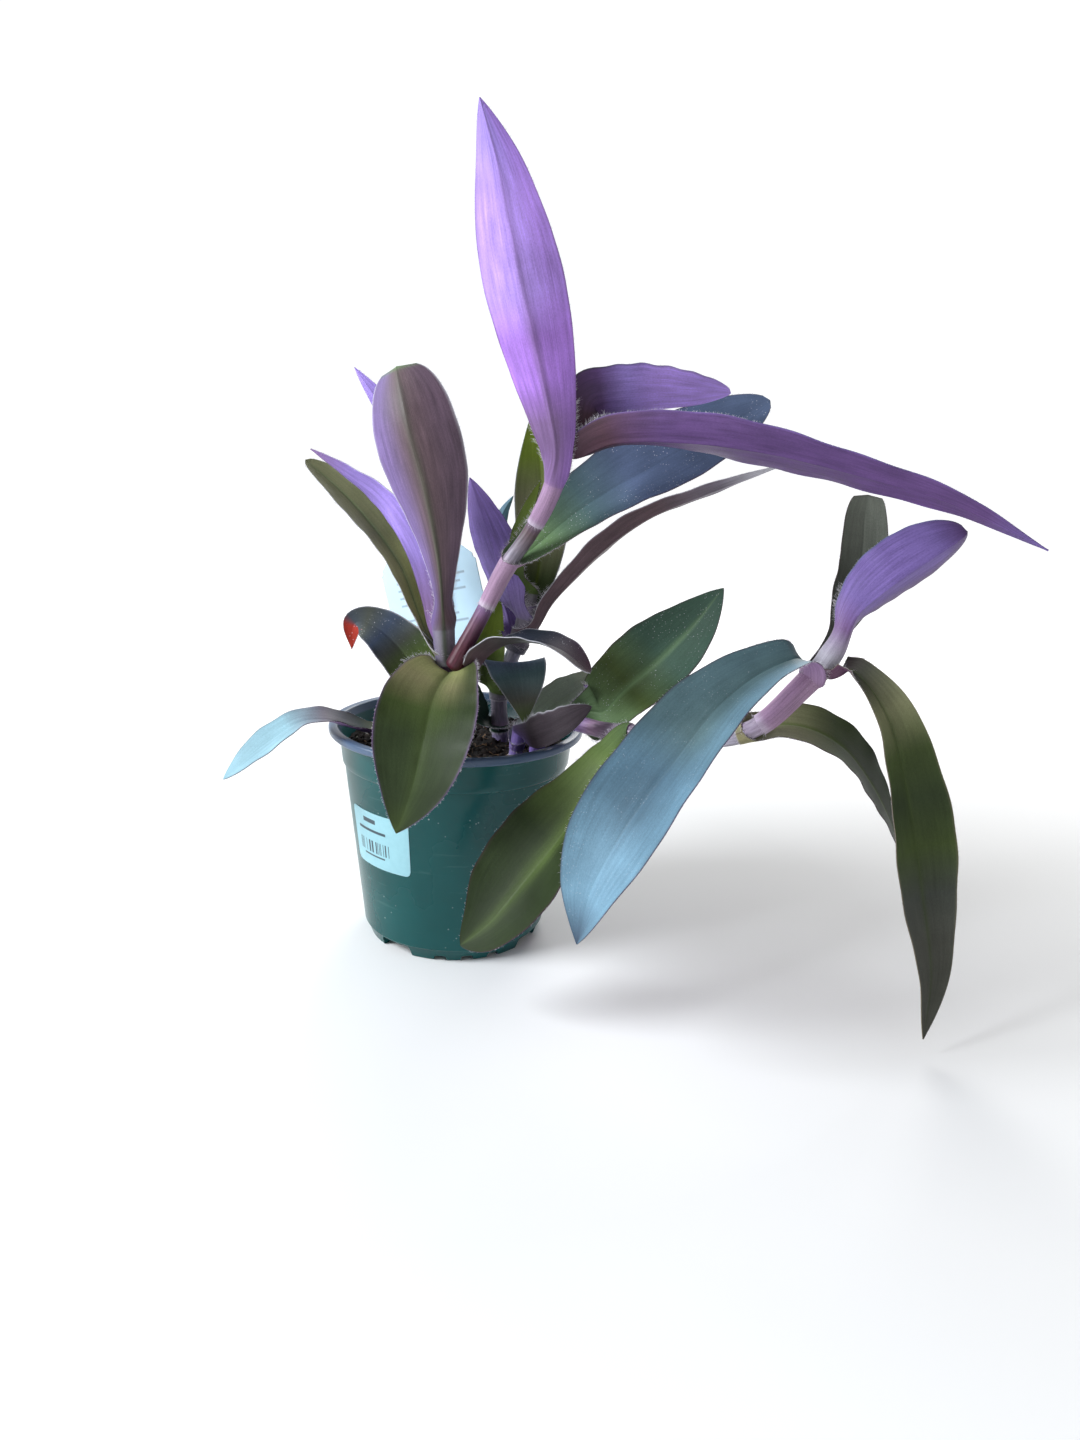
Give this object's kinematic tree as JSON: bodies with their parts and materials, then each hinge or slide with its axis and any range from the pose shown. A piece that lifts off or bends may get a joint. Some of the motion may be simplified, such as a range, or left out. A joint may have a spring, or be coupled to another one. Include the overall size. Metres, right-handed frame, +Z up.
{
  "type": "potted tradescantia",
  "caption": "Trailing plant with several shoots of long violet and green leaves in a round plastic nursery pot filled with soil, with a plant tag and a blank price sticker.",
  "frame": {"origin": "middle of the pot's flat foot, where it meets the table", "axes": "+Z up, +X to the side the longest shoot trails to, -Y towards the viewer"},
  "size_m": [0.2873, 0.1733, 0.3212],
  "materials": {
    "pot": "gloss",
    "soil": "matte",
    "sticker": "satin",
    "tag": "satin",
    "stem": "satin",
    "leaf_violet": "satin",
    "leaf_green": "satin",
    "leaf_olive": "satin"
  },
  "bodies": {
    "root": {"pot": "pot", "soil": "soil", "price_sticker": "sticker", "plant_tag": "tag", "stem_left": "stem", "stem_middle": "stem", "stem_right": "stem", "stem_short": "stem", "leaf_a1": "leaf_violet", "leaf_a2": "leaf_violet", "leaf_a3": "leaf_violet", "leaf_a4": "leaf_green", "leaf_b0": "leaf_olive", "leaf_b1": "leaf_violet", "leaf_b2": "leaf_olive", "leaf_b3": "leaf_violet", "leaf_b4": "leaf_violet", "leaf_b5": "leaf_green", "leaf_b6": "leaf_green", "leaf_g1": "leaf_green", "leaf_c1": "leaf_violet", "leaf_c2": "leaf_violet", "leaf_c3": "leaf_olive", "leaf_c4": "leaf_violet", "leaf_c5": "leaf_olive", "leaf_c6": "leaf_olive", "leaf_t1": "leaf_green", "leaf_d1": "leaf_green", "leaf_e1": "leaf_green", "leaf_e2": "leaf_green", "leaf_e3": "leaf_olive", "leaf_e4": "leaf_olive", "leaf_e5": "leaf_olive", "leaf_e6": "leaf_violet", "leaf_e7": "leaf_green", "leaf_f1": "leaf_violet", "leaf_f2": "leaf_olive"}
  },
  "joints": []
}
